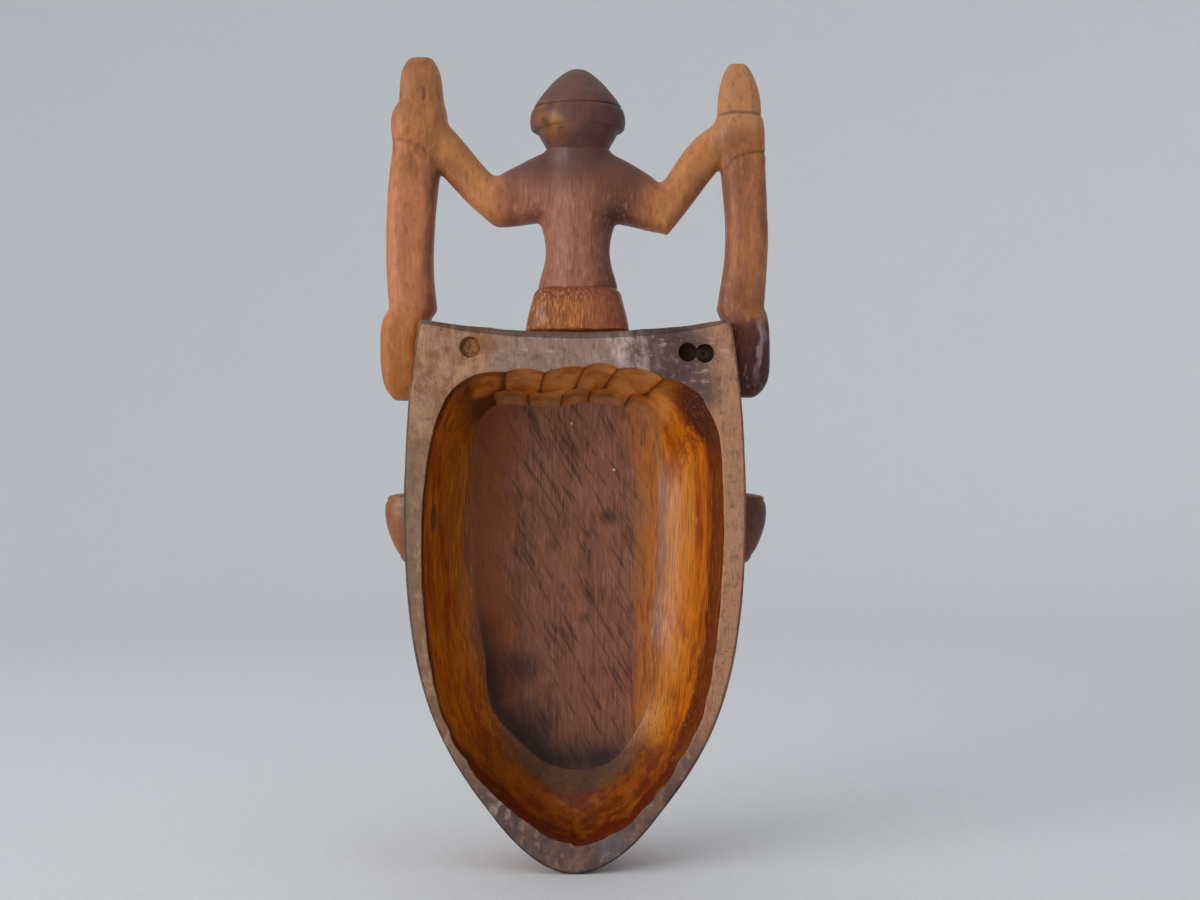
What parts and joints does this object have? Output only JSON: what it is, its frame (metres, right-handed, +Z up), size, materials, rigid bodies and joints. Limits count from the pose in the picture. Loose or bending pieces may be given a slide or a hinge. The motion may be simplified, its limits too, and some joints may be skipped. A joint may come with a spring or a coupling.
{
  "type": "carved wall mask",
  "caption": "Carved wooden wall mask with a hollow back, side ears and a crest: a capped figure on a pedestal gripping two upright horns.",
  "frame": {"origin": "on the flat rim that rests on the wall, in the middle of the rim's top band, level with the hanging holes", "axes": "+Z up along the mask's height, +Y out of the hollow back towards the wall, -Y the way the face looks, +X the mask's own left"},
  "size_m": [0.1949, 0.087, 0.4055],
  "materials": {
    "lacquered_wood": "orange-brown stained and lacquered carved wood, worn bare and greyish on the rim",
    "dark_stained_wood": "dark purple-brown stained carved wood, satin"
  },
  "bodies": {
    "root": {"mask_shell": "lacquered_wood", "pedestal": "lacquered_wood", "torso": "lacquered_wood", "left_horn_foot": "lacquered_wood", "right_horn_foot": "lacquered_wood", "left_horn": "lacquered_wood", "right_horn": "lacquered_wood", "left_fist": "lacquered_wood", "right_fist": "lacquered_wood", "left_horn_tip": "lacquered_wood", "right_horn_tip": "lacquered_wood", "left_upper_arm": "lacquered_wood", "right_upper_arm": "lacquered_wood", "left_forearm": "lacquered_wood", "right_forearm": "lacquered_wood", "left_ear": "lacquered_wood", "right_ear": "lacquered_wood", "head": "dark_stained_wood", "cap": "dark_stained_wood"}
  },
  "joints": []
}
